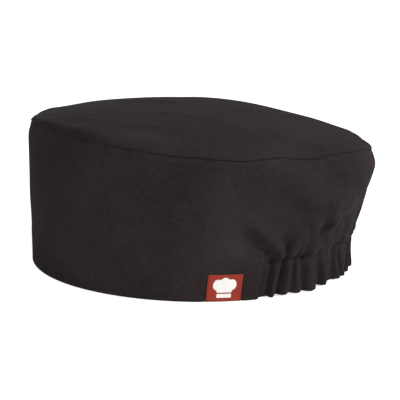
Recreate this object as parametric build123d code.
from build123d import *
import os
from math import atan2, cos, degrees, radians, sin, sqrt

# A low, flat-topped cook's cap with an elasticated back. Each sewn piece is a node of its own.
# Millimetres. +Z is up, the brow is towards -Y, the back of the head towards +Y, and the wearer's
# left towards +X. The origin is on the plane of the lower edge, under the middle of the crown.

# ---- Driving dimensions -------------------------------------------------------------------------
HEADBAND_LENGTH = 190.0      # outside of the lower edge, brow to back, elastic relaxed
HEADBAND_WIDTH = 175.0       # outside of the lower edge, ear to ear
CROWN_LENGTH = 201.0         # crown seam, brow to back
CROWN_WIDTH = 184.6          # crown seam, ear to ear
CROWN_OVERHANG = 5.2         # the crown's middle lies this far behind the headband's middle
FRONT_HEIGHT = 82.8          # crown seam above the lower edge, at the brow
BACK_HEIGHT = 72.0           # crown seam above the lower edge, at the back
CROWN_RISE = 16.5            # top of the crown above the crown seam
CROWN_RIM_RADIUS = 7.0       # roundness of the crown's edge
BULGE = 1.3                  # the wall swells by this much, just under the crown seam
BULGE_DROP = 9.0             # and is widest this far under the seam

CLOTH = 0.8                  # one layer of twill, with its nap
CHANNEL_HEIGHT = 20.0        # lower edge to the stitching that closes the hem channel
ELASTIC_WIDTH = 15.0
ELASTIC_THICKNESS = 1.2
ELASTIC_START = 34.0         # the channel is gathered behind this Y
INTERFACING_THICKNESS = 0.4
INTERFACING_MARGIN = 1.2     # it stops this far short of the fold and of the stitching
FACING_RISE = 0.5            # the facing is set this much higher than the outside, to stay hidden
TAPE_THICKNESS = 0.4         # binding over the crown seam's raw edges
SEAM_ALLOWANCE = 8.0
BINDING_DEPTH = 5.0
STITCH_DROP = 1.0            # the crown seam's stitching lies this far under the seam line
BACK_SEAM_CLEARANCE = 1.0    # the pressed-open back seam starts this far above the channel
BACK_SEAM_SHORTFALL = 4.0    # and ends this far under the crown seam's raw edges
THREAD = 0.4

LABEL_WIDTH = 17.0           # woven label folded over the lower edge
LABEL_HEIGHT = 16.0
LABEL_THICKNESS = 0.35
LABEL_Y = 12.5               # its middle, on the wearer's left
LABEL_MARGIN = 1.2           # from the label's edges to its stitching
CARE_LABEL_WIDTH = 22.0
CARE_LABEL_LENGTH = 34.0
CARE_LABEL_THICKNESS = 0.3
CARE_LABEL_INSET = 1.0       # its stitching stops this far short of its edges

TACK_WIDTH = 2.0             # bar tack at each end of the elastic
LAYER_GAP = 0.1              # between layers that are sewn face to face
MOVING_GAP = 0.3             # between pieces that move past each other
MARGIN = 60.0                # how far a cutting block runs past what it cuts

# ---- Sizes worked out from them -------------------------------------------------------------------
HEADBAND_A = HEADBAND_LENGTH / 2
HEADBAND_B = HEADBAND_WIDTH / 2
CROWN_A = CROWN_LENGTH / 2
CROWN_B = CROWN_WIDTH / 2
CROWN_TILT = degrees(atan2(FRONT_HEIGHT - BACK_HEIGHT, CROWN_LENGTH))
SEAM_MIDDLE = (FRONT_HEIGHT + BACK_HEIGHT) / 2
ELASTIC_BOTTOM = (CHANNEL_HEIGHT - ELASTIC_WIDTH) / 2
WALL_LEAN = degrees(atan2(CROWN_B - HEADBAND_B, SEAM_MIDDLE - CHANNEL_HEIGHT))
DRUM_STEPS = 4               # outlines between the channel and the bulge


def crown_plane(height):
    """The plane of the crown seam, moved up along its own normal. It is lower at the back."""
    seam = Plane(origin=(0, 0, SEAM_MIDDLE)).rotated((-CROWN_TILT, 0, 0))
    return seam.offset(height)


def oval(plane, half_width, half_length, inset):
    return plane * Ellipse(half_width - inset, half_length - inset)


def headband_plane(height):
    return Plane(origin=(0, -CROWN_OVERHANG, height))


def headband_block(inset, bottom, top):
    """The solid oval inside the headband's outer face, moved in by inset."""
    return extrude(oval(headband_plane(bottom), HEADBAND_B, HEADBAND_A, inset), top - bottom)


def headband_ring(outer_inset, thickness, bottom, top):
    return headband_block(outer_inset, bottom, top) - headband_block(
        outer_inset + thickness, bottom - 1, top + 1
    )


def drum_section(height_share, inset):
    """The wall's outline part of the way up, from the channel's stitching at 0 to the bulge at 1.

    The outline's plane turns evenly from level to the tilt of the crown seam, and the wall spreads
    faster low down, so that it is slightly full instead of a plain cone.
    """
    spread = height_share * (1.4 - 0.4 * height_share)
    top = crown_plane(-BULGE_DROP).origin
    middle_y = -CROWN_OVERHANG + (top.Y + CROWN_OVERHANG) * spread
    middle_z = CHANNEL_HEIGHT + (top.Z - CHANNEL_HEIGHT) * height_share
    plane = Plane(origin=(0, middle_y, middle_z)).rotated((-CROWN_TILT * height_share, 0, 0))
    half_width = HEADBAND_B + (CROWN_B + BULGE - HEADBAND_B) * spread
    half_length = HEADBAND_A + (CROWN_A + BULGE - HEADBAND_A) * spread
    return oval(plane, half_width, half_length, inset)


def drum_block(inset):
    """The solid inside the wall above the channel, from the channel stitching to the crown seam."""
    sections = [drum_section(step / DRUM_STEPS, inset) for step in range(DRUM_STEPS + 1)]
    sections.append(oval(crown_plane(0), CROWN_B, CROWN_A, inset))
    return loft(sections)


def drum_shell(outer_inset, thickness):
    return drum_block(outer_inset) - drum_block(outer_inset + thickness)


def crown_ring(outer_inset, thickness, bottom, top):
    """A ring square to the crown seam's plane; bottom and top are measured from that plane."""
    height = top - bottom
    outer = extrude(oval(crown_plane(bottom), CROWN_B, CROWN_A, outer_inset), height)
    inner = extrude(
        oval(crown_plane(bottom - 1), CROWN_B, CROWN_A, outer_inset + thickness), height + 2
    )
    return outer - inner


def behind(y, bottom, top):
    """A block that holds everything behind Y between two heights."""
    size = HEADBAND_LENGTH + MARGIN
    return Pos(0, y + size / 2, (bottom + top) / 2) * Box(2 * size, size, top - bottom)


# ---- Cloth that shows -----------------------------------------------------------------------------
def crown_profile(radius, rise, rim):
    """Half of a dome's section: a round rim, then one long arc to the top."""
    # The long arc has its middle on the axis and touches the rim's arc at the tangent point.
    rim_x = radius - rim
    big = (rise**2 + rim_x**2 - rim**2) / (2 * (rise - rim))
    drop = big - rise
    reach = sqrt(rim_x**2 + drop**2)
    touch = (rim_x + rim * rim_x / reach, rim * drop / reach)
    turn = atan2(rim_x, drop)
    rim_turn = radians(90) - (radians(90) - turn) / 2
    rim_middle = (rim_x + rim * sin(rim_turn), rim * cos(rim_turn))
    top_middle = (big * sin(turn / 2), big * cos(turn / 2) - drop)
    return (
        Line((0, 0), (radius, 0))
        + ThreePointArc((radius, 0), rim_middle, touch)
        + ThreePointArc(touch, top_middle, (0, rise))
        + Line((0, rise), (0, 0))
    )


def dome(inset):
    """The crown's solid dome, round when it is turned and then drawn narrower to the oval."""
    outline = make_face(
        crown_profile(CROWN_A - inset, CROWN_RISE - inset, CROWN_RIM_RADIUS - inset)
    )
    turned = revolve(Plane.XZ * outline, Axis.Z, 360)
    oval_dome = scale(turned, by=((CROWN_B - inset) / (CROWN_A - inset), 1, 1))
    return crown_plane(0).location * oval_dome


def crown_panel():
    return dome(0) - dome(CLOTH)


def side_band():
    """The wall, with the front of the hem. The back of the hem channel is left out for the elastic."""
    hem = headband_ring(0, CLOTH, 0, CHANNEL_HEIGHT)
    wall = hem + drum_shell(0, CLOTH)
    return wall - behind(ELASTIC_START, -1, CHANNEL_HEIGHT) - label_seat()


def gathered_channel():
    top = CHANNEL_HEIGHT - MOVING_GAP
    return headband_ring(0, CLOTH, 0, top) & behind(ELASTIC_START + MOVING_GAP, 0, top)


# ---- Layers inside the hem ------------------------------------------------------------------------
def front_layer(inset, thickness, bottom, top):
    ring = headband_ring(inset, thickness, bottom, top)
    return ring - behind(ELASTIC_START, bottom - 1, top + 1) - label_seat()


def back_layer(inset, thickness, bottom, top):
    return headband_ring(inset, thickness, bottom, top) & behind(
        ELASTIC_START + MOVING_GAP, bottom, top
    )


def front_interfacing():
    bottom = INTERFACING_MARGIN
    top = CHANNEL_HEIGHT - INTERFACING_MARGIN
    strip = front_layer(CLOTH + LAYER_GAP, INTERFACING_THICKNESS, bottom, top)
    return strip - behind(ELASTIC_START - TACK_WIDTH - 2 * MOVING_GAP, bottom - 1, top + 1)


def front_facing():
    inset = CLOTH + INTERFACING_THICKNESS + 2 * LAYER_GAP
    return front_layer(inset, CLOTH, FACING_RISE, CHANNEL_HEIGHT)


def elastic_tape():
    return back_layer(
        CLOTH + LAYER_GAP, ELASTIC_THICKNESS, ELASTIC_BOTTOM, ELASTIC_BOTTOM + ELASTIC_WIDTH
    )


def channel_facing():
    inset = CLOTH + ELASTIC_THICKNESS + 2 * LAYER_GAP
    return back_layer(inset, CLOTH, FACING_RISE, CHANNEL_HEIGHT - MOVING_GAP)


def elastic_tack(side):
    """A dense bar of stitches that holds one end of the elastic between the two layers of cloth."""
    ring = headband_ring(
        CLOTH + LAYER_GAP, INTERFACING_THICKNESS, ELASTIC_BOTTOM, ELASTIC_BOTTOM + ELASTIC_WIDTH
    )
    start = ELASTIC_START - MOVING_GAP - TACK_WIDTH
    block = Pos(side * HEADBAND_B, start + TACK_WIDTH / 2, CHANNEL_HEIGHT / 2) * Box(
        HEADBAND_B, TACK_WIDTH, CHANNEL_HEIGHT
    )
    return ring & block


# ---- Thread ---------------------------------------------------------------------------------------
def hem_thread():
    """The row of stitching that closes the channel, lying on the outside of the wall."""
    top = CHANNEL_HEIGHT - 2 * MOVING_GAP
    return headband_ring(-(LAYER_GAP + THREAD), THREAD, top - THREAD, top)


def front_topstitching():
    """The row along the front. It stops at the side label if the label reaches that high."""
    everything = CHANNEL_HEIGHT + MARGIN
    label_cover = label_band(
        -MARGIN, 2 * MARGIN, LABEL_WIDTH + 2 * LAYER_GAP, 0, LABEL_HEIGHT + LAYER_GAP
    )
    return hem_thread() - behind(ELASTIC_START, 0, everything) - label_cover


def channel_topstitching():
    everything = CHANNEL_HEIGHT + MARGIN
    return hem_thread() & behind(ELASTIC_START + MOVING_GAP, 0, everything)


# ---- The crown seam, inside -----------------------------------------------------------------------
ALLOWANCE_INSET = CLOTH + TAPE_THICKNESS + 2 * LAYER_GAP
ALLOWANCE_THICKNESS = 2 * CLOTH
ALLOWANCE_INNER = ALLOWANCE_INSET + ALLOWANCE_THICKNESS


def crown_seam_allowance():
    """The raw edges of crown and wall, turned down together inside the cap."""
    return crown_ring(ALLOWANCE_INSET, ALLOWANCE_THICKNESS, -SEAM_ALLOWANCE, -LAYER_GAP)


def crown_seam_binding():
    """Tape folded round the raw edges: a leg on each face, and a web below."""
    foot = -SEAM_ALLOWANCE - LAYER_GAP
    top = foot + BINDING_DEPTH
    outside = ALLOWANCE_INSET - LAYER_GAP - TAPE_THICKNESS
    depth = ALLOWANCE_THICKNESS + 2 * (TAPE_THICKNESS + LAYER_GAP)
    whole = crown_ring(outside, depth, foot - TAPE_THICKNESS, top)
    hollow = crown_ring(
        ALLOWANCE_INSET - LAYER_GAP, ALLOWANCE_THICKNESS + 2 * LAYER_GAP, foot, top + 1
    )
    return whole - hollow


def crown_seam_stitching():
    top = -STITCH_DROP
    return crown_ring(ALLOWANCE_INNER + LAYER_GAP, THREAD, top - THREAD, top)


# ---- The seam that joins the wall's strip at the back ---------------------------------------------
BACK_SEAM_BOTTOM = CHANNEL_HEIGHT + BACK_SEAM_CLEARANCE
BACK_SEAM_TOP = BACK_HEIGHT - SEAM_ALLOWANCE - BACK_SEAM_SHORTFALL


def back_seam_slice(inset, thickness, low_x, high_x):
    """A slice of a layer inside the wall, at the middle of the back."""
    height = BACK_SEAM_TOP - BACK_SEAM_BOTTOM
    block = Pos((low_x + high_x) / 2, CROWN_A, (BACK_SEAM_TOP + BACK_SEAM_BOTTOM) / 2) * Box(
        high_x - low_x, CROWN_A, height
    )
    return drum_shell(inset, thickness) & block


def back_seam_allowance():
    """The strip's two ends, pressed open to each side of the seam."""
    inset = CLOTH + LAYER_GAP
    right = back_seam_slice(inset, CLOTH, -SEAM_ALLOWANCE, -THREAD)
    left = back_seam_slice(inset, CLOTH, THREAD, SEAM_ALLOWANCE)
    return right + left


def back_seam_stitching():
    return back_seam_slice(CLOTH + LAYER_GAP, THREAD, -THREAD / 2, THREAD / 2)


# ---- Labels ---------------------------------------------------------------------------------------
HEM_THICKNESS = 2 * CLOTH + INTERFACING_THICKNESS + 2 * LAYER_GAP


def label_band(outer_inset, thickness, width, bottom, top):
    """A piece of a ring of the headband, as wide as the label and centred on it."""
    block = Pos(HEADBAND_B, LABEL_Y, (bottom + top) / 2) * Box(HEADBAND_B, width, top - bottom)
    return headband_ring(outer_inset, thickness, bottom, top) & block


def label_seat():
    """The hem is pressed up by the label's fold, so that the label ends at the lower edge."""
    return label_band(
        -1, HEM_THICKNESS + 2, LABEL_WIDTH + 2 * LAYER_GAP, -1, LABEL_THICKNESS + LAYER_GAP
    )


def side_label():
    """A woven label folded round the lower edge, with one leaf outside and one inside."""
    gap = LAYER_GAP
    outside = -(gap + LABEL_THICKNESS)
    depth = HEM_THICKNESS + 2 * (gap + LABEL_THICKNESS)
    whole = label_band(outside, depth, LABEL_WIDTH, 0, LABEL_HEIGHT)
    hollow = label_band(
        -gap, HEM_THICKNESS + 2 * gap, LABEL_WIDTH + 1, LABEL_THICKNESS, LABEL_HEIGHT + 1
    )
    return whole - hollow


def side_label_stitching():
    """Three rows of thread on the outer leaf: up one side, along the top and down the other."""
    outside = -(2 * LAYER_GAP + LABEL_THICKNESS + THREAD)
    top = LABEL_HEIGHT - LABEL_MARGIN
    width = LABEL_WIDTH - 2 * LABEL_MARGIN
    frame = label_band(outside, THREAD, width, LABEL_MARGIN, top)
    window = label_band(
        outside - 1, THREAD + 2, width - 2 * THREAD, LABEL_MARGIN - 1, top - THREAD
    )
    return frame - window


CARE_LABEL_Z = crown_plane(-SEAM_ALLOWANCE).origin.Z
CARE_LABEL_X = -(CROWN_B - ALLOWANCE_INNER - TAPE_THICKNESS - LAYER_GAP - 3 * MOVING_GAP)


def care_label():
    """A satin label caught in the binding by its upper edge, hanging inside on the right."""
    leaf = Pos(0, 0, -CARE_LABEL_LENGTH / 2) * Box(
        CARE_LABEL_THICKNESS, CARE_LABEL_WIDTH, CARE_LABEL_LENGTH
    )
    return Pos(CARE_LABEL_X, 0, CARE_LABEL_Z) * Rot(0, -WALL_LEAN, 0) * leaf


def care_label_stitching():
    """The short row of thread that holds the care label to the binding."""
    row = Box(THREAD, CARE_LABEL_WIDTH - 2 * CARE_LABEL_INSET, THREAD)
    return Pos(CARE_LABEL_X, 0, CARE_LABEL_Z + THREAD / 2 + MOVING_GAP) * row


# ---- Build and write ------------------------------------------------------------------------------
NODES = {
    "crown_panel": crown_panel,
    "side_band": side_band,
    "gathered_channel": gathered_channel,
    "front_facing": front_facing,
    "front_interfacing": front_interfacing,
    "channel_facing": channel_facing,
    "elastic_tape": elastic_tape,
    "elastic_tack_left": lambda: elastic_tack(1),
    "elastic_tack_right": lambda: elastic_tack(-1),
    "front_topstitching": front_topstitching,
    "channel_topstitching": channel_topstitching,
    "crown_seam_allowance": crown_seam_allowance,
    "crown_seam_binding": crown_seam_binding,
    "crown_seam_stitching": crown_seam_stitching,
    "back_seam_allowance": back_seam_allowance,
    "back_seam_stitching": back_seam_stitching,
    "side_label": side_label,
    "side_label_stitching": side_label_stitching,
    "care_label": care_label,
    "care_label_stitching": care_label_stitching,
}

os.makedirs("parts", exist_ok=True)
for name, make in NODES.items():
    shape = make()
    solids = shape.solids()
    export_step(Compound(children=solids) if len(solids) > 1 else solids[0], f"parts/{name}.step")
    print(name, len(solids), "solids,", round(sum(s.volume for s in solids), 1), "mm3")
